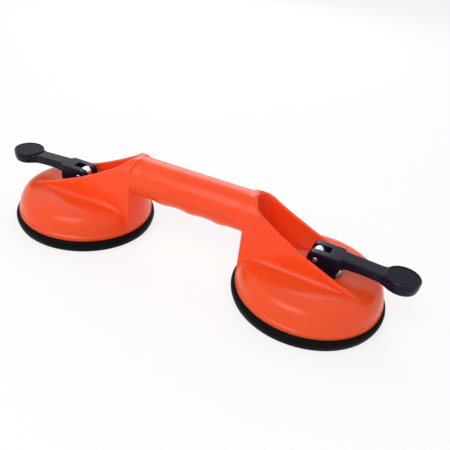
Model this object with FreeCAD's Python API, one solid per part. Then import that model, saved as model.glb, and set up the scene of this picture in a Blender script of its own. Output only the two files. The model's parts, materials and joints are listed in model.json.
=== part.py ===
import FreeCAD, Part
import math
import os

# Two-cup vacuum lifter for tiles and glass: one ABS moulding with two domes and a grip between them, a rubber disc
# under each dome, and a cam lever on each dome that pulls the middle of its disc upwards.
#
# Frame: millimetres, +X along the grip, +Z up. The origin is on the surface that the rubber rims stand on, midway
# between the two cups. Each cup is drawn once about its own axis with +X pointing away from the grip, and the left
# cup is the mirror image of the right one.

V = FreeCAD.Vector
UP = V(0, 0, 1)

# ---- driving dimensions -------------------------------------------------------------------------------------
cup_spacing = 210.0          # between the axes of the two cups
half_spacing = cup_spacing / 2

# rubber disc
rubber_radius = 60.0         # widest, at the lip
rubber_foot_radius = 58.4    # where the rim meets the surface
rubber_foot_inner = 53.5     # inner edge of the flat rim
rubber_lip_height = 6.6
rubber_top = 9.1             # the flange sits on the rubber here
rubber_dish_height = 5.2     # how far the middle is drawn up while the lever is pressed down
rubber_boss_radius = 19.0
rubber_boss_top = 15.2

# dome of the moulding
flange_radius = 57.4
flange_top = 13.2
wall_foot_radius = 56.4
dome_top = 30.2
dome_flat_radius = 34.0      # the top of the dome is level inside this
dome_wall = 3.0
deck_radius = 22.4           # raised ring round the wear plate
deck_ring_width = 1.5
deck_ring_height = 1.2

# housing: two wings that rise from the dome to the grip, with an open trough between them
wing_low = 12.0              # the wings start inside the dome
wing_high = 80.0
wing_lean = 0.9              # each side leans in by this much from its middle height
wing_sides = [(-20.0, 18.9), (10.0, 20.1), (52.0, 21.2)]     # out from the cup's axis, half width
back_half_width = 16.8
wing_end = 44.0              # the wings die away into the dome before this
trough_sides = [(-38.0, 13.7), (-20.0, 15.6), (10.0, 16.9), (70.0, 18.6)]
trough_head = [(-47.6, 9.8), (-52.0, 0.0), (-47.6, -9.8)]    # round inner end, next to the grip
trough_spread = 0.12
rim_round = 1.4
cove_radii = [(-51, 0.5), (-46, 2.2), (-38, 4.0), (-20, 4.2), (0, 4.2), (13, 3.8), (21, 2.2), (28, 0.5)]
cove_bury = 0.06             # how far a cove is let into the two surfaces it joins

# grip
grip_half_width = 16.6
grip_half_height = 16.2
grip_centre_height = 57.6
# The crown of the housing is this much wider and higher than the grip, growing outwards from the grip.
crown_growth = [(-70.0, 1.2, 1.0), (-40.0, 3.4, 1.6), (50.0, 3.4, 1.6)]
# The grip swells into the housing: place, extra half width and extra half height of its oval.
collar = [(-64.0, 0.0, 0.0), (-60.5, 0.15, 0.1), (-57.0, 0.6, 0.3), (-54.0, 0.7, -0.2), (-51.0, 0.3, -2.0),
          (-48.0, -0.5, -4.0)]
finger_pitch = 25.0
finger_count = 4
finger_depth = 1.3

# lever and its pivot
pivot_out = 1.3              # pivot axis, outwards from the cup's axis
pivot_height = 42.0
pin_radius = 1.75
running_clearance = 0.05
fork_half_width = 9.4
slot_half_width = 3.9
slot_end = 10.2
arm_half_width = 6.3
shoulder_start = 18.3
shoulder_end = 21.6
fork_top = 48.0
arm_end_top = 46.2           # top of the arm where it runs into the pad
back_round = 0.9
pad_out = 62.8
pad_radius = 12.8
pad_top = 47.3
pad_depth = 9.4
pad_border = 1.5
pad_channel = 0.55           # depth of the round channel inside the border
diamond_radius = 10.5        # the field of diamonds
diamond_drop = 0.12          # their tops lie this much below the border
diamond_pitch = 2.3
groove_width = 1.0
groove_depth = 0.36

# cam: the distance from the pivot to the plate falls evenly as the lever is lifted
plate_thickness = 1.1
cam_gap = 0.12
cam_high = pivot_height - dome_top - plate_thickness - cam_gap
cam_drop_per_radian = 2.4
lever_lift = math.radians(95)
heel_out = 18.0              # tip of the heel, outwards from the pivot

# pull tongue and what anchors it
tongue_half_thickness = 3.5
tongue_eye_radius = 5.3
tongue_half_width = 4.6
stud_radius = 2.5
anchor_plate_radius = 17.0
anchor_plate_thickness = 2.0
nut_across_flats = 8.0
nut_height = 4.0


# ---- helpers ------------------------------------------------------------------------------------------------
def wire_of(edges):
    return Part.Wire(Part.__sortEdges__(edges))


def line(a, b):
    return Part.LineSegment(a, b).toShape()


def spline(points, start=None, end=None):
    """A smooth curve through points; start and end are its directions there."""
    curve = Part.BSplineCurve()
    if start is None:
        curve.interpolate(points)
    else:
        curve.interpolate(Points=points, InitialTangent=start, FinalTangent=end)
    return curve.toShape()


def point_where(curve, rising, wanted):
    """The point of a curve where a value that rises along it reaches the wanted one."""
    low = curve.FirstParameter
    high = curve.LastParameter
    for halving in range(40):
        middle = (low + high) / 2
        if rising(curve.value(middle)) < wanted:
            low = middle
        else:
            high = middle
    return curve.value(low)


def polygon(points):
    return Part.makePolygon(points + [points[0]])


def turned(wire):
    """A full turn of a closed profile in the XZ plane about the cup's axis."""
    return Part.Face(wire).revolve(V(0, 0, 0), UP, 360)


def upright(points, low, high):
    """A prism on a closed outline in plan, from one height to another."""
    face = Part.Face(polygon([V(x, y, low) for x, y in points]))
    return face.extrude(V(0, 0, high - low))


def rounded_slot(half_length, half_width, low, high):
    """An upright slot tool with round corners, centred on the pivot's line."""
    block = Part.makeBox(2 * half_length, 2 * half_width, high - low, V(-half_length, -half_width, low))
    corners = [e for e in block.Edges if abs(e.Vertexes[0].Z - e.Vertexes[-1].Z) > 1]
    block = block.makeFillet(min(half_length, half_width) * 0.45, corners)
    block.translate(V(pivot_out, 0, 0))
    return block


def oval(half_width, half_height, x):
    """An upright oval across X, at the height of the grip."""
    section = Part.Ellipse(V(0, 0, 0), half_width, half_height)
    along = FreeCAD.Rotation(V(0, 1, 0), V(0, 0, 1), V(1, 0, 0))
    section.transform(FreeCAD.Placement(V(x, 0, grip_centre_height), along).toMatrix())
    return Part.Wire(section.toShape())


def oval_bar(half_width, half_height, start, length):
    return Part.Face(oval(half_width, half_height, start)).extrude(V(length, 0, 0))


# ---- the moulding -------------------------------------------------------------------------------------------
def dome_crown(inset):
    """The rounded shoulder of the dome, from the flange to the level top."""
    return spline([V(wall_foot_radius - inset, 0, flange_top + 0.5),
                   V(55.5 - inset, 0, 19.0 - inset * 0.3),
                   V(53.2 - inset, 0, 24.2 - inset * 0.6),
                   V(49.6 - inset * 0.8, 0, 27.8 - inset * 0.9),
                   V(44.0 - inset * 0.6, 0, 29.4 - inset),
                   V(dome_flat_radius, 0, dome_top - inset)], V(-0.12, 0, 1), V(-1, 0, 0))


def dome_height(x, y):
    """Height of the dome's outside above a point near its shoulder or on its level top."""
    radius = math.hypot(x, y)
    if radius <= dome_flat_radius:
        return dome_top
    return point_where(dome_crown(0).Curve, lambda point: -point.x, -radius).z


def dome_profile(inset):
    """Half section of the dome, from the flange up and over to the axis; inset gives the inner skin."""
    foot = rubber_top
    top = dome_top - inset
    crown = dome_crown(inset)
    if inset:
        outer = [line(V(0, 0, foot - 5), V(wall_foot_radius - inset, 0, foot - 5)),
                 line(V(wall_foot_radius - inset, 0, foot - 5), V(wall_foot_radius - inset, 0, flange_top + 0.5))]
    else:
        outer = [line(V(0, 0, foot), V(flange_radius, 0, foot)),
                 line(V(flange_radius, 0, foot), V(flange_radius, 0, flange_top - 0.6)),
                 line(V(flange_radius, 0, flange_top - 0.6), V(flange_radius - 0.6, 0, flange_top)),
                 line(V(flange_radius - 0.6, 0, flange_top), V(wall_foot_radius, 0, flange_top + 0.5))]
    closing = [line(V(dome_flat_radius, 0, top), V(0, 0, top)),
               line(V(0, 0, top), V(0, 0, outer[0].Vertexes[0].Z))]
    return wire_of(outer + [crown] + closing)


def wing_side():
    """Side view of the housing: the rim falls in one long curve from the grip to the dome."""
    back = V(-64, 0, 72.0)
    front = V(50, 0, 25.0)
    rim = spline([back, V(-58.5, 0, 73.7), V(-54.5, 0, 74.2), V(-50, 0, 72.6), V(-43.5, 0, 67.5),
                  V(-36, 0, 62.8), V(-28.5, 0, 58.6), V(-20, 0, 54.3), V(-8, 0, 48.4), V(9, 0, 41.2),
                  V(24, 0, 35.2), V(39, 0, 29.8), front])
    low_back = V(back.x, 0, wing_low)
    low_front = V(front.x, 0, wing_low)
    edges = [rim, line(front, low_front), line(low_front, low_back), line(low_back, back)]
    slab = Part.Face(wire_of(edges)).extrude(V(0, 60, 0))
    slab.translate(V(0, -30, 0))
    beyond = Part.makeBox(20, 60, wing_high, V(wing_end, -30, 0))
    return slab.cut(beyond)


def wing_corner(shrink):
    """Where a side of the housing meets the flange at the back."""
    half = back_half_width - shrink
    return -math.sqrt(flange_radius ** 2 - half ** 2), half


def wing_curve(shrink, height, side):
    """Plan of one side of the housing: from the flange it spreads a little towards the tip."""
    points = [wing_corner(shrink)] + [(x, y - shrink) for x, y in wing_sides]
    return spline([V(x, side * y, height) for x, y in points])


def wing_outline(shrink, height):
    """Plan of the housing at one height: the back follows the flange."""
    back_x, back_y = wing_corner(shrink)
    back = Part.Arc(V(back_x, back_y, height), V(-flange_radius, 0, height), V(back_x, -back_y, height)).toShape()
    front_x, front_y = wing_sides[-1]
    front = line(V(front_x, front_y - shrink, height), V(front_x, shrink - front_y, height))
    return wire_of([wing_curve(shrink, height, 1), back, wing_curve(shrink, height, -1), front])


def wing_block():
    return Part.makeLoft([wing_outline(-wing_lean, wing_low), wing_outline(wing_lean, wing_high)], True, True)


def wing_half_width(x, height):
    """Half width of the leaning housing at a place and height."""
    up_the_side = (height - wing_low) / (wing_high - wing_low)
    middle = point_where(wing_curve(0, 0, 1).Curve, lambda point: point.x, x).y
    return middle + wing_lean - 2 * wing_lean * up_the_side


def cove(side):
    """Hollow fillet in the crease between one wing and the dome; its radius fades out at both ends."""
    sections = []
    for x, radius in cove_radii:
        wall = wing_half_width(x, dome_height(x, back_half_width) + radius / 2)
        at_wall = dome_height(x, wall)
        at_toe = dome_height(x, wall + radius) - cove_bury
        inside = V(x, side * (wall - 1.2), at_wall - 1.2)
        on_wall = V(x, side * (wall - cove_bury), at_wall + radius)
        toe = V(x, side * (wall + radius), at_toe)
        sag = radius * (1 - math.sqrt(0.5))
        hollow = V(x, side * (wall + sag), (at_wall + at_toe) / 2 + sag)
        sections.append(wire_of([line(inside, on_wall), Part.Arc(on_wall, hollow, toe).toShape(), line(toe, inside)]))
    return Part.makeLoft(sections, True, False)


def crown_block():
    """End view of the housing: over the grip its top is as round as the grip, a little larger all round."""
    sections = [oval(grip_half_width + wider, grip_half_height + higher, x) for x, wider, higher in crown_growth]
    start = crown_growth[0][0]
    length = crown_growth[-1][0] - start
    below = Part.makeBox(length, 50, grip_centre_height, V(start, -25, 0))
    return Part.makeLoft(sections, True, True).fuse(below)


def trough(low):
    """The open trough between the wings, with a round inner end."""
    straight, half = trough_sides[0]
    sides = []
    for side in (1, -1):
        sides.append(spline([V(x, side * y, low) for x, y in trough_sides],
                            V(1, side * trough_spread, 0), V(1, side * 0.02, 0)))
    head = [(straight, half)] + trough_head + [(straight, -half)]
    end = spline([V(x, y, low) for x, y in head], V(-1, -trough_spread, 0), V(1, -trough_spread, 0))
    front_x, front_y = trough_sides[-1]
    front = line(V(front_x, front_y, low), V(front_x, -front_y, low))
    return Part.Face(wire_of(sides + [end, front])).extrude(V(0, 0, 90))


def grip():
    """Round bar between the domes, with finger hollows on its underside."""
    ends = half_spacing - 52.0
    bar = oval_bar(grip_half_width, grip_half_height, -ends, 2 * ends)
    hollow_radius = ((finger_pitch / 2) ** 2 + finger_depth ** 2) / (2 * finger_depth)
    low = grip_centre_height - grip_half_height
    for index in range(finger_count):
        x = (index - (finger_count - 1) / 2) * finger_pitch
        finger = Part.makeCylinder(hollow_radius, 60, V(x, -30, low + finger_depth - hollow_radius), V(0, 1, 0))
        bar = bar.cut(finger)
    return bar


def grip_collar():
    """The end of the grip swells a little and dies away inside the walls of the housing."""
    sections = [oval(grip_half_width + wider, grip_half_height + higher, x) for x, wider, higher in collar]
    return Part.makeLoft(sections, True, False).cut(trough(20.0))


def moulding_half():
    dome = turned(dome_profile(0))
    housing = wing_block().common(wing_side()).common(crown_block())
    hollow = trough(20.0).cut(dome)
    housing = housing.cut(hollow)
    deck = Part.makeCylinder(deck_radius, deck_ring_height, V(0, 0, dome_top))
    deck = deck.cut(Part.makeCylinder(deck_radius - deck_ring_width, 10, V(0, 0, dome_top - 2)))
    deck = deck.common(trough(20.0))
    shell = dome.fuse([housing, deck])
    for side in (1, -1):
        shell = shell.fuse(cove(side))
    shell = shell.cut(turned(dome_profile(dome_wall)))
    shell = shell.cut(rounded_slot(tongue_half_width + 0.7, tongue_half_thickness + 0.7, 20, 40))
    return rounded_rim(shell.removeSplitter().Solids[0])


def rounded_rim(shell):
    """Rounds both edges of the rim that runs up one wing, round the head of the trough and down the other."""
    rim = []
    for edge in shell.Edges:
        box = edge.BoundBox
        climbs = box.ZMax > 40 and box.ZLength > 0.5 and box.XLength > 2
        if climbs and box.XMin > -57.2 and box.YMax < 22 and box.YMin > -22:
            rim.append(edge)
    return shell.makeFillet(rim_round, rim)


def moulding():
    right = moulding_half().fuse(grip_collar())
    right.translate(V(half_spacing, 0, 0))
    left = right.mirror(V(0, 0, 0), V(1, 0, 0))
    return right.fuse(left).fuse(grip()).removeSplitter()


# ---- rubber disc and what is anchored in it -------------------------------------------------------------------
def rubber_disc():
    """Thick rim, thin web and a boss: the middle stands up because the lever holds it drawn."""
    dish = spline([V(0, 0, rubber_dish_height), V(27, 0, rubber_dish_height * 0.74), V(44, 0, rubber_dish_height * 0.3),
                   V(rubber_foot_inner, 0, 0)], V(1, 0, 0), V(1, 0, -0.1))
    lip = spline([V(rubber_foot_radius, 0, 0), V(59.6, 0, 3.0), V(rubber_radius, 0, rubber_lip_height),
                  V(59.3, 0, 8.5), V(58.2, 0, rubber_top)])
    top = spline([V(50, 0, rubber_top), V(38, 0, 9.9), V(27, 0, 12.2), V(rubber_boss_radius, 0, rubber_boss_top)])
    edges = [dish, line(V(rubber_foot_inner, 0, 0), V(rubber_foot_radius, 0, 0)), lip,
             line(V(58.2, 0, rubber_top), V(50, 0, rubber_top)), top,
             line(V(rubber_boss_radius, 0, rubber_boss_top), V(0, 0, rubber_boss_top)),
             line(V(0, 0, rubber_boss_top), V(0, 0, rubber_dish_height))]
    return turned(wire_of(edges))


def anchor_plate():
    """Steel disc bonded to the boss of the rubber, with the threaded stud that the tongue screws on to."""
    disc = Part.makeCylinder(anchor_plate_radius, anchor_plate_thickness, V(pivot_out, 0, rubber_boss_top))
    disc = disc.makeChamfer(0.4, [e for e in disc.Edges if isinstance(e.Curve, Part.Circle)])
    stud = Part.makeCylinder(stud_radius, 14.0, V(pivot_out, 0, rubber_boss_top + anchor_plate_thickness))
    return disc.fuse(stud).removeSplitter()


def lock_nut():
    across_corners = nut_across_flats / math.cos(math.pi / 6)
    corners = [(pivot_out + across_corners / 2 * math.cos(k * math.pi / 3), across_corners / 2 * math.sin(k * math.pi / 3))
               for k in range(6)]
    low = rubber_boss_top + anchor_plate_thickness
    nut = upright(corners, low, low + nut_height)
    crown = Part.makeCone(across_corners / 2 + nut_height * 1.5, across_corners / 2 - 0.5, nut_height + 1.0,
                          V(pivot_out, 0, low - 0.6))
    return nut.common(crown).cut(Part.makeCylinder(stud_radius, 20, V(pivot_out, 0, low - 5)))


def pull_tongue():
    """Flat steel eye: the pin goes through its head, and its foot is screwed down on the lock nut."""
    foot = rubber_boss_top + anchor_plate_thickness + nut_height
    head = Part.makeCylinder(tongue_eye_radius, 2 * tongue_half_thickness,
                             V(pivot_out, -tongue_half_thickness, pivot_height), V(0, 1, 0))
    shank = Part.makeBox(2 * tongue_half_width, 2 * tongue_half_thickness, pivot_height - foot,
                         V(pivot_out - tongue_half_width, -tongue_half_thickness, foot))
    shank = shank.makeFillet(1.0, [e for e in shank.Edges if e.BoundBox.ZLength > 5])
    eye = head.fuse(shank).removeSplitter()
    eye = eye.cut(Part.makeCylinder(pin_radius, 30, V(pivot_out, -15, pivot_height), V(0, 1, 0)))
    return eye.cut(Part.makeCylinder(stud_radius, 11.0, V(pivot_out, 0, foot - 1)))


def wear_plate():
    """Steel plate that the cam slides on. It fills the ring on the dome and is trimmed straight beside the wings."""
    plate = Part.makeCylinder(deck_radius - deck_ring_width - 0.4, plate_thickness, V(0, 0, dome_top))
    plate = plate.common(Part.makeBox(60, 29.0, 10, V(-30, -14.5, dome_top - 1)))
    return plate.cut(rounded_slot(tongue_half_width + 0.7, tongue_half_thickness + 0.7, 20, 40))


def pivot_pin():
    length = 2 * (fork_half_width + 0.6)
    pin = Part.makeCylinder(pin_radius, length, V(pivot_out, -length / 2, pivot_height), V(0, 1, 0))
    return pin.makeFillet(0.5, [e for e in pin.Edges if isinstance(e.Curve, Part.Circle)])


# ---- lever --------------------------------------------------------------------------------------------------
def at_pivot(out, up):
    return V(pivot_out + out, 0, pivot_height + up)


def cam_curve():
    """Underside of the fork. Seen from the pivot it is the curve whose lowest point drops evenly with the lift."""
    points = []
    steps = 8
    for step in range(steps + 1):
        lift = lever_lift * step / steps
        reach = cam_high - cam_drop_per_radian * lift
        points.append(at_pivot(cam_drop_per_radian * math.cos(lift) - reach * math.sin(lift),
                               -cam_drop_per_radian * math.sin(lift) - reach * math.cos(lift)))
    return spline(points, V(-1, 0, 0), V(0.09, 0, 1)), points


def lever_side():
    """Side view of the lever: cam, rounded fork end, arm, and the arch behind the heel."""
    cam, cam_points = cam_curve()
    top = fork_top - pivot_height
    end_top = arm_end_top - pivot_height
    out_of_pad = pad_out - pivot_out
    pad_low = pad_top - pad_depth - pivot_height
    fork_end = spline([cam_points[-1], at_pivot(-5.5, 3.7), at_pivot(-1.0, top)], V(0.2, 0, 1), V(1, 0, 0))
    back = spline([at_pivot(-1.0, top), at_pivot(17.0, top - 0.1), at_pivot(30.0, top - 0.75),
                   at_pivot(out_of_pad - pad_radius + 1, end_top), at_pivot(out_of_pad, end_top - 0.5)],
                  V(1, 0, 0), V(1, 0, -0.05))
    belly = spline([at_pivot(out_of_pad, pad_low + 0.6), at_pivot(out_of_pad - 8, pad_low + 0.8),
                    at_pivot(out_of_pad - 16, -2.4), at_pivot(34.0, -1.5), at_pivot(25.5, -1.5)])
    arch = spline([at_pivot(25.5, -1.5), at_pivot(20.6, -2.6), at_pivot(17.6, -6.2),
                   at_pivot(heel_out, -cam_high + 0.9)], V(-1, 0, 0), V(0.25, 0, -1))
    heel = spline([at_pivot(heel_out, -cam_high + 0.9), at_pivot(heel_out - 0.15, -cam_high + 0.25),
                   at_pivot(heel_out - 1.0, -cam_high)], V(0.1, 0, -1), V(-1, 0, 0))
    edges = [cam, fork_end, back, line(at_pivot(out_of_pad, end_top - 0.5), at_pivot(out_of_pad, pad_low + 0.6)),
             belly, arch, heel, line(at_pivot(heel_out - 1.0, -cam_high), cam_points[0])]
    slab = Part.Face(wire_of(edges)).extrude(V(0, 40, 0))
    slab.translate(V(0, -20, 0))
    return slab


def lever_plan():
    """Plan of the lever: wide fork, a sloped shoulder, a parallel arm, and a short flare into the pad."""
    flare = pad_out - pad_radius - 3.0
    halves = []
    for side in (1, -1):
        shoulder = spline([V(shoulder_start, side * fork_half_width, 0),
                           V((shoulder_start + shoulder_end) / 2, side * (fork_half_width + arm_half_width) / 2, 0),
                           V(shoulder_end, side * arm_half_width, 0)], V(1, 0, 0), V(1, 0, 0))
        spread = spline([V(flare, side * arm_half_width, 0), V(flare + 5, side * (arm_half_width + 1.6), 0),
                         V(flare + 9, side * (arm_half_width + 4.0), 0)], V(1, 0, 0), V(1, side, 0))
        halves += [line(V(-12, side * fork_half_width, 0), V(shoulder_start, side * fork_half_width, 0)), shoulder,
                   line(V(shoulder_end, side * arm_half_width, 0), V(flare, side * arm_half_width, 0)), spread,
                   line(V(flare + 9, side * (arm_half_width + 4.0), 0), V(pad_out, side * 8.0, 0))]
    ends = [line(V(-12, -fork_half_width, 0), V(-12, fork_half_width, 0)), line(V(pad_out, -8.0, 0), V(pad_out, 8.0, 0))]
    return Part.Face(wire_of(halves + ends)).extrude(V(0, 0, 90))


def diamond_grooves():
    """Two crossed sets of V grooves; what stays between them on the face of the pad is a field of diamonds."""
    top = pad_top - diamond_drop
    channel_middle = (diamond_radius + pad_radius - pad_border) / 2
    field = Part.makeCylinder(channel_middle, 4, V(0, 0, pad_top - 2))
    half_count = int(diamond_radius / diamond_pitch)
    grooves = []
    for turn in (45, -45):
        for index in range(-half_count, half_count + 1):
            y = index * diamond_pitch
            above = 1.0
            half_width = groove_width / 2 * (1 + above / groove_depth)
            section = polygon([V(-20, y - half_width, top + above), V(-20, y + half_width, top + above),
                               V(-20, y, top - groove_depth)])
            groove = Part.Face(section).extrude(V(40, 0, 0))
            groove.rotate(V(0, 0, 0), UP, turn)
            grooves.append(groove.common(field))
    return grooves


def thumb_pad():
    """Round pad: a plain border round a field of diamonds, sides drawn in towards the bottom."""
    low = pad_top - pad_depth
    section = wire_of([
        line(V(0, 0, low), V(pad_radius - 2.2, 0, low)),
        spline([V(pad_radius - 2.2, 0, low), V(pad_radius - 0.9, 0, low + 0.9), V(pad_radius - 0.2, 0, low + 4.0),
                V(pad_radius, 0, pad_top - 0.6)], V(1, 0, 0), V(0, 0, 1)),
        line(V(pad_radius, 0, pad_top - 0.6), V(pad_radius - 0.5, 0, pad_top)),
        line(V(pad_radius - 0.5, 0, pad_top), V(pad_radius - pad_border, 0, pad_top)),
        line(V(pad_radius - pad_border, 0, pad_top), V(pad_radius - pad_border, 0, pad_top - pad_channel)),
        line(V(pad_radius - pad_border, 0, pad_top - pad_channel), V(diamond_radius, 0, pad_top - pad_channel)),
        line(V(diamond_radius, 0, pad_top - pad_channel), V(diamond_radius, 0, pad_top - diamond_drop)),
        line(V(diamond_radius, 0, pad_top - diamond_drop), V(0, 0, pad_top - diamond_drop)),
        line(V(0, 0, pad_top - diamond_drop), V(0, 0, low))])
    pad = turned(section).cut(diamond_grooves())
    pad.translate(V(pad_out, 0, 0))
    return pad


def rounded_back(body):
    """Rounds the two long edges of the lever's back, from the nose of the fork to the pad."""
    back = []
    for edge in body.Edges:
        box = edge.BoundBox
        on_a_side = box.YMin * box.YMax > 0
        along_the_back = box.ZMin > arm_end_top - 1.2 and box.XMax < pad_out - 5
        over_the_nose = box.XMax < pivot_out and box.ZMax > fork_top - 1
        if on_a_side and (along_the_back or over_the_nose):
            back.append(edge)
    return body.makeFillet(back_round, back)


def lever():
    body = rounded_back(lever_side().common(lever_plan()).Solids[0])
    body = body.fuse(thumb_pad())
    slot = Part.makeBox(40, 2 * slot_half_width, 60, V(slot_end - 40, -slot_half_width, 10))
    bore = Part.makeCylinder(pin_radius + running_clearance, 60, V(pivot_out, -30, pivot_height), V(0, 1, 0))
    core = Part.makeBox(22, 7.6, 4.6, V(25.0, -3.8, pivot_height - 3.0))
    core = core.makeFillet(2.0, [e for e in core.Edges if e.BoundBox.ZLength > 4])
    low = pad_top - pad_depth
    hollow = Part.makeCylinder(pad_radius - 4.4, 5.2, V(pad_out, 0, low - 0.1))
    for turn in (0, 60, 120):
        rib = Part.makeBox(40, 1.6, 12, V(-20, -0.8, low - 1))
        rib.rotate(V(0, 0, 0), UP, turn)
        rib.translate(V(pad_out, 0, 0))
        hollow = hollow.cut(rib)
    return body.cut([slot, bore, core, hollow]).removeSplitter()


# ---- write one file per piece -------------------------------------------------------------------------------
def save(shape, name):
    solids = shape.Solids
    if len(solids) != 1 or not shape.isValid():
        print("check", name, len(solids), shape.isValid())
    solids[0].exportStep("parts/%s.step" % name)
    print(name, round(solids[0].Volume / 1000, 2), "cm3")


os.makedirs("parts", exist_ok=True)
save(moulding(), "handle_body")
CUP_PIECES = {
    "rubber_disc": rubber_disc,
    "anchor_plate": anchor_plate,
    "lock_nut": lock_nut,
    "pull_tongue": pull_tongue,
    "wear_plate": wear_plate,
    "pivot_pin": pivot_pin,
    "lever": lever,
}
for piece, make in CUP_PIECES.items():
    right_piece = make()
    right_piece.translate(V(half_spacing, 0, 0))
    save(right_piece, "right_" + piece)
    save(right_piece.mirror(V(0, 0, 0), V(1, 0, 0)), "left_" + piece)
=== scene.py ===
# %% [markdown]
# # A two-cup vacuum lifter for tiles
# The tool is one orange moulding with a rubber disc under each end and a black cam lever on each end. Its
# construction comes packed from CAD, in metres, and stays where it is. This lesson gives every surface
# its finish, adds the finger ridges of the grip, and then sets up the floor, the lamps and the camera.

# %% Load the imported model
import json
import math

import bmesh
import bpy
from mathutils import Matrix, Vector
from mathutils.bvhtree import BVHTree


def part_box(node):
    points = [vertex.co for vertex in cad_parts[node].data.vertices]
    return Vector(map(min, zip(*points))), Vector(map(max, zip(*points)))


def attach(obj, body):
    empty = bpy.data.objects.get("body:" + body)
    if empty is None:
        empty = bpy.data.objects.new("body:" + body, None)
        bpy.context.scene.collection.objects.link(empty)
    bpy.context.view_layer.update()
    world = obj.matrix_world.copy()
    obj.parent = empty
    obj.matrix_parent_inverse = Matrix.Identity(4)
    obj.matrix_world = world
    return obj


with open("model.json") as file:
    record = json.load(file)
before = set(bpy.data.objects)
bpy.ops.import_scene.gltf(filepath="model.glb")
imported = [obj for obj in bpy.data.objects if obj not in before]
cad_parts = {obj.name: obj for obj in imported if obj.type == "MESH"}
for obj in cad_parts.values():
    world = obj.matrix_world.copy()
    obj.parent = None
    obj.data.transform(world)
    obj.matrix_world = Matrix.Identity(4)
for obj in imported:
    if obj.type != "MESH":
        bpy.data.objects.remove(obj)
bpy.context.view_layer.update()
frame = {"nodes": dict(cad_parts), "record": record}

# %% [markdown]
# ## Tools for a finish
# A finish is a small node tree round one Principled shader. A value that is the same all over sits on the
# shader's own socket, because that is what an exporter reads. What varies comes from noise on the Object
# coordinates: it stays put on the piece when a lever turns, and it needs no unwrapping. Four helpers
# build every tree below, and each does one thing: start a finish, make noise, map noise on to a range,
# and turn noise into a bump.

# %% Start a finish, and make noise for it


def new_finish(name, colour, roughness, metallic=0.0):
    material = bpy.data.materials.new(name)
    material.use_nodes = True
    nodes = material.node_tree.nodes
    shader = nodes["Principled BSDF"]
    shader.inputs["Base Color"].default_value = (*colour, 1.0)
    shader.inputs["Roughness"].default_value = roughness
    shader.inputs["Metallic"].default_value = metallic
    return material, nodes, material.node_tree.links, shader


def object_noise(nodes, links, scale, detail=3.0):
    place = nodes.new("ShaderNodeTexCoord")
    noise = nodes.new("ShaderNodeTexNoise")
    noise.inputs["Scale"].default_value = scale
    noise.inputs["Detail"].default_value = detail
    links.new(place.outputs["Object"], noise.inputs["Vector"])
    return noise


# %% Map noise on to a range, a tint or a bump
noise_low = 0.3              # noise seldom leaves this middle stretch of its 0 to 1
noise_high = 0.7


def spread(nodes, links, noise, low, high):
    """Maps the middle of the noise on to a range of values."""
    remap = nodes.new("ShaderNodeMapRange")
    remap.inputs["From Min"].default_value = noise_low
    remap.inputs["From Max"].default_value = noise_high
    remap.inputs["To Min"].default_value = low
    remap.inputs["To Max"].default_value = high
    links.new(noise.outputs["Fac"], remap.inputs["Value"])
    return remap.outputs["Result"]


def tinted(nodes, links, noise, darker, lighter):
    """Lets the colour drift between two close tones."""
    mix = nodes.new("ShaderNodeMix")
    mix.data_type = "RGBA"
    mix.inputs["A"].default_value = (*darker, 1.0)
    mix.inputs["B"].default_value = (*lighter, 1.0)
    links.new(spread(nodes, links, noise, 0.0, 1.0), mix.inputs["Factor"])
    return mix.outputs["Result"]


def bumped(nodes, links, shader, noise, height):
    """Raises the surface by the noise, at most by the height in metres."""
    bump = nodes.new("ShaderNodeBump")
    bump.inputs["Strength"].default_value = 1.0
    bump.inputs["Distance"].default_value = height
    links.new(noise.outputs["Fac"], bump.inputs["Height"])
    links.new(bump.outputs["Normal"], shader.inputs["Normal"])


# %% [markdown]
# ## Orange ABS
# The moulding is glossy ABS in a strong orange. Light goes a few millimetres into it and comes back
# redder, which fills the shadows of the troughs with red. A plain red-orange base would look like paint,
# so most of the base is subsurface: red travels furthest, green and blue hardly at all. The gloss is
# uneven, the tone drifts a little, and a long faint ripple bends the reflections, as on a thick moulding
# that has sunk while it cooled.

# %% The orange finish
orange_base = (0.98, 0.082, 0.013)
orange_darker = (0.965, 0.074, 0.011)
orange_lighter = (0.99, 0.090, 0.015)
orange_roughness = 0.24
orange_smoothest = 0.2
orange_roughest = 0.28
orange_reflection = 0.28
inner_share = 0.7            # how much of the base is light that has been inside
red_green_blue_reach = (1.0, 0.12, 0.05)     # how far each travels inside, as shares of the depth below
light_depth = 0.006
roughness_scale = 35.0       # noise scales are in patches per metre, more or less
tone_scale = 22.0
ripple_scale = 45.0
ripple_detail = 1.0          # no small waves on the long ones
ripple_height = 0.00006


def orange_plastic():
    material, nodes, links, shader = new_finish("orange_abs", orange_base, orange_roughness)
    shader.inputs["Specular IOR Level"].default_value = orange_reflection
    shader.inputs["Subsurface Weight"].default_value = inner_share
    shader.inputs["Subsurface Radius"].default_value = red_green_blue_reach
    shader.inputs["Subsurface Scale"].default_value = light_depth
    patches = object_noise(nodes, links, roughness_scale)
    unevenness = spread(nodes, links, patches, orange_smoothest, orange_roughest)
    links.new(unevenness, shader.inputs["Roughness"])
    tone = object_noise(nodes, links, tone_scale)
    drift = tinted(nodes, links, tone, orange_darker, orange_lighter)
    links.new(drift, shader.inputs["Base Color"])
    ripple = object_noise(nodes, links, ripple_scale, ripple_detail)
    bumped(nodes, links, shader, ripple, ripple_height)
    return material


# %% [markdown]
# ## Black nylon and black rubber
# The levers are black nylon: nearly black, with a cool sheen where they face the sky and a fine grain
# from the mould. The diamonds of the thumb pads are more matt, so that a thumb grips them. They are found
# by their distance from the pad's middle, which is simpler than a second material and a list of faces.
# The discs are softer and duller, with a coarser grain. Both blacks keep a little colour of their own,
# because pure black swallows every edge. Their specular levels are low, and a violet specular tint cools
# the nylon.

# %% Find the thumb pads
pad_radius = 0.0128
diamond_radius = 0.0112
pad_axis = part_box("right_lever")[1].x - pad_radius


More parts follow.
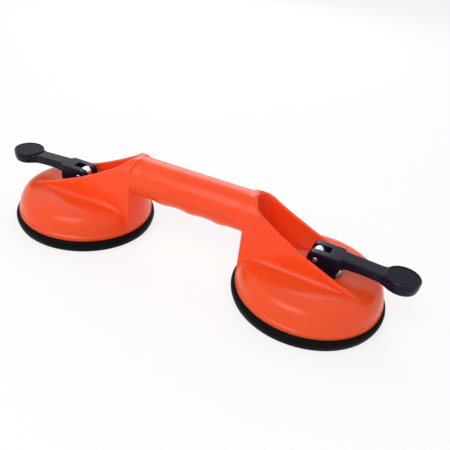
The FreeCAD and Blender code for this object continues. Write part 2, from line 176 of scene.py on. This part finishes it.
def calculated(nodes, links, operation, value, other):
    """The result of one Math node on a socket and a number."""
    step = nodes.new("ShaderNodeMath")
    step.operation = operation
    step.inputs[1].default_value = other
    links.new(value, step.inputs[0])
    return step.outputs["Value"]


def on_pads(nodes, links):
    """1 over the diamonds of either thumb pad, and 0 elsewhere."""
    place = nodes.new("ShaderNodeTexCoord")
    parts = nodes.new("ShaderNodeSeparateXYZ")
    links.new(place.outputs["Object"], parts.inputs["Vector"])
    outwards = calculated(nodes, links, "ABSOLUTE", parts.outputs["X"], 0.0)
    flat = nodes.new("ShaderNodeCombineXYZ")
    links.new(calculated(nodes, links, "SUBTRACT", outwards, pad_axis), flat.inputs["X"])
    links.new(parts.outputs["Y"], flat.inputs["Y"])
    distance = nodes.new("ShaderNodeVectorMath")
    distance.operation = "LENGTH"
    links.new(flat.outputs["Vector"], distance.inputs[0])
    return calculated(nodes, links, "LESS_THAN", distance.outputs["Value"], diamond_radius)


# %% The two black finishes
nylon_colour = (0.006, 0.006, 0.015)
nylon_roughness = 0.2
pad_roughness = 0.45
nylon_reflection = 0.17
nylon_sheen = (0.84, 0.81, 1.0, 1.0)
nylon_grain_scale = 900.0
nylon_grain_height = 0.00003
rubber_colour = (0.006, 0.005, 0.006)
rubber_roughness = 0.45
rubber_reflection = 0.03
rubber_grain_scale = 500.0
rubber_grain_height = 0.00005


def black_plastic():
    material, nodes, links, shader = new_finish("black_nylon", nylon_colour, nylon_roughness)
    shader.inputs["Specular IOR Level"].default_value = nylon_reflection
    shader.inputs["Specular Tint"].default_value = nylon_sheen
    matt = nodes.new("ShaderNodeMapRange")
    matt.inputs["To Min"].default_value = nylon_roughness
    matt.inputs["To Max"].default_value = pad_roughness
    links.new(on_pads(nodes, links), matt.inputs["Value"])
    links.new(matt.outputs["Result"], shader.inputs["Roughness"])
    bumped(nodes, links, shader, object_noise(nodes, links, nylon_grain_scale), nylon_grain_height)
    return material


def black_rubber():
    material, nodes, links, shader = new_finish("black_rubber", rubber_colour, rubber_roughness)
    shader.inputs["Specular IOR Level"].default_value = rubber_reflection
    bumped(nodes, links, shader, object_noise(nodes, links, rubber_grain_scale), rubber_grain_height)
    return material


# %% [markdown]
# ## Steel
# The tongues, pins and wear plates are polished where the cam rubs them, so they mirror the orange and
# black round them. The anchor plates and nuts are zinc-plated and duller. Metal needs no colour pattern:
# what shows is its reflection, so only the roughness is uneven.

# %% The two steel finishes
polished_colour = (0.74, 0.74, 0.77)
plated_colour = (0.52, 0.53, 0.55)


def uneven_steel(name, colour, roughness, noise_scale, smoothest, roughest):
    material, nodes, links, shader = new_finish(name, colour, roughness, metallic=1.0)
    patches = object_noise(nodes, links, noise_scale)
    links.new(spread(nodes, links, patches, smoothest, roughest), shader.inputs["Roughness"])
    return material


def bright_steel():
    return uneven_steel("bright_steel", polished_colour, roughness=0.2,
                        noise_scale=700.0, smoothest=0.12, roughest=0.26)


def zinc_steel():
    return uneven_steel("zinc_steel", plated_colour, roughness=0.4,
                        noise_scale=300.0, smoothest=0.3, roughest=0.5)


# %% [markdown]
# ## Dress the CAD pieces
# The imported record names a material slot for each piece, and each slot has one finish. Reading the slots
# from the record is safer than a second list of names here, which would have to be kept the same by hand.

# %% Give every CAD piece its finish
finish_of_slot = {
    "orange_plastic": orange_plastic(),
    "black_plastic": black_plastic(),
    "black_rubber": black_rubber(),
    "bright_steel": bright_steel(),
    "zinc_steel": zinc_steel(),
}
slot_of_node = {row["node"]: row["material_slot"] for row in frame["record"]["subparts"]}


def dress(thing, material):
    thing.data.materials.clear()
    thing.data.materials.append(material)


for name, node in frame["nodes"].items():
    dress(node, finish_of_slot[slot_of_node[name]])
print("dressed", len(frame["nodes"]), "CAD pieces")

# %% [markdown]
# ## Measure the grip
# The ridges of the next step lie on the grip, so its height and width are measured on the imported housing.
# The box of the housing is no help, because it holds the domes too. A ray from above, one from below and
# one from the side each stop at the grip's skin. They start a little beside the middle, so that none runs
# along a facet's edge.

# %% Measure the grip with three rays
far_away = 1.0
beside = 0.0002
housing = frame["nodes"]["handle_body"].data
housing_skin = BVHTree.FromPolygons([corner.co for corner in housing.vertices],
                                    [face.vertices for face in housing.polygons])


def first_touch(start, heading):
    return housing_skin.ray_cast(Vector(start), Vector(heading))[0]


grip_top = first_touch((beside, beside, far_away), (0, 0, -1)).z
grip_bottom = first_touch((beside, beside, -far_away), (0, 0, 1)).z
grip_height = (grip_top + grip_bottom) / 2
grip_half_height = (grip_top - grip_bottom) / 2
grip_half_width = -first_touch((beside, -far_away, grip_height), (0, 1, 0)).y

# %% [markdown]
# ## Finger ridges under the grip
# The underside of the grip has low ridges that part the fingers, and they run up both flanks until they
# die away. The CAD grip is plain there, with hollows only along its lowest line. One closed piece lies
# over its lower half. A cylinder is cut into short lengths, its skin is moved out in waves, and its upper
# half is cut off inside the grip. A row of separate beads would leave a seam round each, while one skin
# gives smooth hollows between them.

# %% Sizes of the ridges
ridge_length = 0.100         # its ends are hidden in the collars of the housing
ridge_pitch = 0.025
ridge_shift = 0.0030         # the ridges are not quite in the middle of the grip
ridge_height = 0.0009
ridge_cover = 0.0001         # the hollows lie this far outside the CAD surface
ridge_sunk = 0.00015         # where a ridge has died away, the skin is this far inside the grip
ridge_sharpness = 1.5        # above 1 the ridges are narrower than the hollows
full_along = 0.043           # from the middle of the grip: up to here the skin shows
faded_along = 0.047
full_round = math.radians(62)    # from straight down: up to here a ridge has its full height
faded_round = math.radians(88)
ridge_facets_around = 96
ridge_cuts_along = 120


def smooth_fall(value, full, gone):
    """1 up to full, 0 from gone on, and a smooth slope between them."""
    part = min(max((value - full) / (gone - full), 0.0), 1.0)
    return 1.0 - part * part * (3.0 - 2.0 * part)


def ridge_lift(x, turn):
    """How far the skin stands out of the grip, at a place along it and a turn from straight down."""
    wave = (1.0 + math.cos(2.0 * math.pi * (x - ridge_shift) / ridge_pitch)) / 2.0
    kept = smooth_fall(abs(turn), full_round, faded_round) * smooth_fall(abs(x), full_along, faded_along)
    proud = ridge_cover + ridge_height * wave ** ridge_sharpness
    return kept * proud - (1.0 - kept) * ridge_sunk


# %% Lay the skin of the ridges round the grip


def ridged_bar():
    """A bar along X with the grip's oval section, whose skin is moved in and out by the ridges."""
    bm = bmesh.new()
    bmesh.ops.create_cone(bm, cap_ends=True, segments=ridge_facets_around, radius1=1.0, radius2=1.0,
                          depth=ridge_length)
    long_edges = [edge for edge in bm.edges
                  if abs(edge.verts[0].co.z - edge.verts[1].co.z) > ridge_length / 2]
    bmesh.ops.subdivide_edges(bm, edges=long_edges, cuts=ridge_cuts_along, use_grid_fill=True)
    for vert in bm.verts:
        x = vert.co.z
        turn = math.atan2(vert.co.x, vert.co.y)
        lift = ridge_lift(x, turn)
        y = math.sin(turn) * (grip_half_width + lift)
        z = grip_height - math.cos(turn) * (grip_half_height + lift)
        vert.co = (x, y, z)
    return bm


def lower_half(bm):
    """Cuts the bar off at the height of the grip's middle and closes the cut."""
    everything = bm.verts[:] + bm.edges[:] + bm.faces[:]
    cut = bmesh.ops.bisect_plane(bm, geom=everything, plane_co=(0, 0, grip_height), plane_no=(0, 0, 1),
                                 clear_outer=True)
    rim = [item for item in cut["geom_cut"] if isinstance(item, bmesh.types.BMEdge)]
    bmesh.ops.edgenet_fill(bm, edges=rim)
    bmesh.ops.recalc_face_normals(bm, faces=bm.faces)


# %% Make the piece and let it ride


def finger_ridges():
    bm = ridged_bar()
    lower_half(bm)
    for face in bm.faces:
        face.smooth = len(face.verts) == 4    # the two ends and the cut have more corners and stay flat
    open_edges = sum(not edge.is_manifold for edge in bm.edges)
    mesh = bpy.data.meshes.new("finger_ridges")
    bm.to_mesh(mesh)
    bm.free()
    piece = bpy.data.objects.new("finger_ridges", mesh)
    bpy.context.scene.collection.objects.link(piece)
    dress(piece, finish_of_slot["orange_plastic"])
    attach(piece, "housing")
    print("finger ridges:", len(mesh.polygons), "faces,", open_edges, "open edges")


finger_ridges()

# %% [markdown]
# ## A floor and a world that look white
# A white floor that is lit like the object turns grey, and more light would bleach the orange. Instead,
# the floor and the world know which ray asks. Where the camera looks, or a reflection, they are plain
# white. Where light is gathered, the world is softer. The floor stays a quarter lit where it is seen, so
# that it keeps the soft shadow that sets the tool down on it.

# %% Tell looking from lighting
looking_rays = ("Is Camera Ray", "Is Glossy Ray", "Is Transmission Ray")


def looked_at(nodes, links):
    """1 where the camera, a reflection or a clear piece looks, and 0 where light is gathered."""
    ray = nodes.new("ShaderNodeLightPath")
    total = ray.outputs[looking_rays[0]]
    for way in looking_rays[1:]:
        either = nodes.new("ShaderNodeMath")
        either.operation = "MAXIMUM"
        links.new(total, either.inputs[0])
        links.new(ray.outputs[way], either.inputs[1])
        total = either.outputs["Value"]
    return total


# %% The floor
floor_half_size = 4.0
floor_white = (0.97, 0.97, 0.97, 1.0)
floor_roughness = 0.8
plain_share = 0.75           # how much of the floor is plain white where it is looked at


def pale_floor():
    material = bpy.data.materials.new("pale_floor")
    material.use_nodes = True
    nodes = material.node_tree.nodes
    links = material.node_tree.links
    lit = nodes["Principled BSDF"]
    lit.inputs["Base Color"].default_value = floor_white
    lit.inputs["Roughness"].default_value = floor_roughness
    plain = nodes.new("ShaderNodeEmission")
    share = nodes.new("ShaderNodeMath")
    share.operation = "MULTIPLY"
    share.inputs[1].default_value = plain_share
    mix = nodes.new("ShaderNodeMixShader")
    links.new(looked_at(nodes, links), share.inputs[0])
    links.new(share.outputs["Value"], mix.inputs["Fac"])
    links.new(lit.outputs["BSDF"], mix.inputs[1])
    links.new(plain.outputs["Emission"], mix.inputs[2])
    links.new(mix.outputs["Shader"], nodes["Material Output"].inputs["Surface"])
    return material


def studio_floor():
    bm = bmesh.new()
    bmesh.ops.create_grid(bm, x_segments=1, y_segments=1, size=floor_half_size)
    mesh = bpy.data.meshes.new("studio_floor")
    bm.to_mesh(mesh)
    bm.free()
    floor = bpy.data.objects.new("studio_floor", mesh)
    bpy.context.scene.collection.objects.link(floor)
    dress(floor, pale_floor())


studio_floor()

# %% The world
pure_white = (1.0, 1.0, 1.0, 1.0)
world_light = 0.58           # how much light the world gives; it looks white all the same


def white_world():
    world = bpy.data.worlds.new("studio")
    bpy.context.scene.world = world
    world.use_nodes = True
    nodes = world.node_tree.nodes
    links = world.node_tree.links
    light = nodes["Background"]
    light.inputs["Color"].default_value = pure_white
    light.inputs["Strength"].default_value = world_light
    seen = nodes.new("ShaderNodeBackground")
    seen.inputs["Color"].default_value = pure_white
    seen.inputs["Strength"].default_value = 1.0
    mix = nodes.new("ShaderNodeMixShader")
    links.new(looked_at(nodes, links), mix.inputs["Fac"])
    links.new(light.outputs["Background"], mix.inputs[1])
    links.new(seen.outputs["Background"], mix.inputs[2])
    links.new(mix.outputs["Shader"], nodes["World Output"].inputs["Surface"])


white_world()

# %% [markdown]
# ## Two soft lamps
# The world alone would leave the plastic flat. A square softbox in front and above draws the long soft
# streak on the domes and the grip. A second one behind, like a window, glances off the tops of the grip
# and the levers. Both are weak, so that the colours stay about as they are written.

# %% Lamps
lamp_target = (0, 0, 0.03)


def softbox(name, place, size, watts):
    lamp = bpy.data.lights.new(name, "AREA")
    lamp.size = size
    lamp.energy = watts
    thing = bpy.data.objects.new(name, lamp)
    thing.location = place
    thing.rotation_euler = (Vector(lamp_target) - Vector(place)).to_track_quat("-Z", "Y").to_euler()
    bpy.context.scene.collection.objects.link(thing)


softbox("key", place=(-0.15, -0.86, 0.97), size=0.8, watts=6.8)
softbox("window", place=(-0.45, 1.05, 0.75), size=0.8, watts=5.0)

# %% [markdown]
# ## Camera
# The camera is close, so the near cup looks bigger than the far one. Typing a place and three angles for
# it would be guesswork. It is placed by the point it looks at, its distance, its turn round the tool, its
# angle above the floor and a slight roll, which can each be changed without losing the others.

# %% Camera
focal_mm = 41.95
sensor_mm = 36.0
sideways_shift = 0.0100
nearest_seen = 0.01
camera_distance = 0.4869
camera_azimuth = math.radians(21.90)
camera_elevation = math.radians(32.07)
camera_roll = math.radians(7.23)
camera_target = Vector((0.0038, 0.0548, 0.0))


def three_quarter_camera():
    lens = bpy.data.cameras.new("camera")
    lens.sensor_width = sensor_mm
    lens.lens = focal_mm
    lens.shift_x = sideways_shift
    lens.clip_start = nearest_seen
    back = Vector((math.sin(camera_azimuth) * math.cos(camera_elevation),
                   -math.cos(camera_azimuth) * math.cos(camera_elevation), math.sin(camera_elevation)))
    right = (-back).cross(Vector((0, 0, 1))).normalized()
    up = right.cross(-back)
    tilted_right = math.cos(camera_roll) * right + math.sin(camera_roll) * up
    tilted_up = -math.sin(camera_roll) * right + math.cos(camera_roll) * up
    turn = Matrix((tilted_right, tilted_up, back)).transposed().to_4x4()
    thing = bpy.data.objects.new("camera", lens)
    thing.matrix_world = Matrix.Translation(camera_target + back * camera_distance) @ turn
    bpy.context.scene.collection.objects.link(thing)
    bpy.context.scene.camera = thing


three_quarter_camera()
bpy.context.scene.view_settings.view_transform = "Standard"
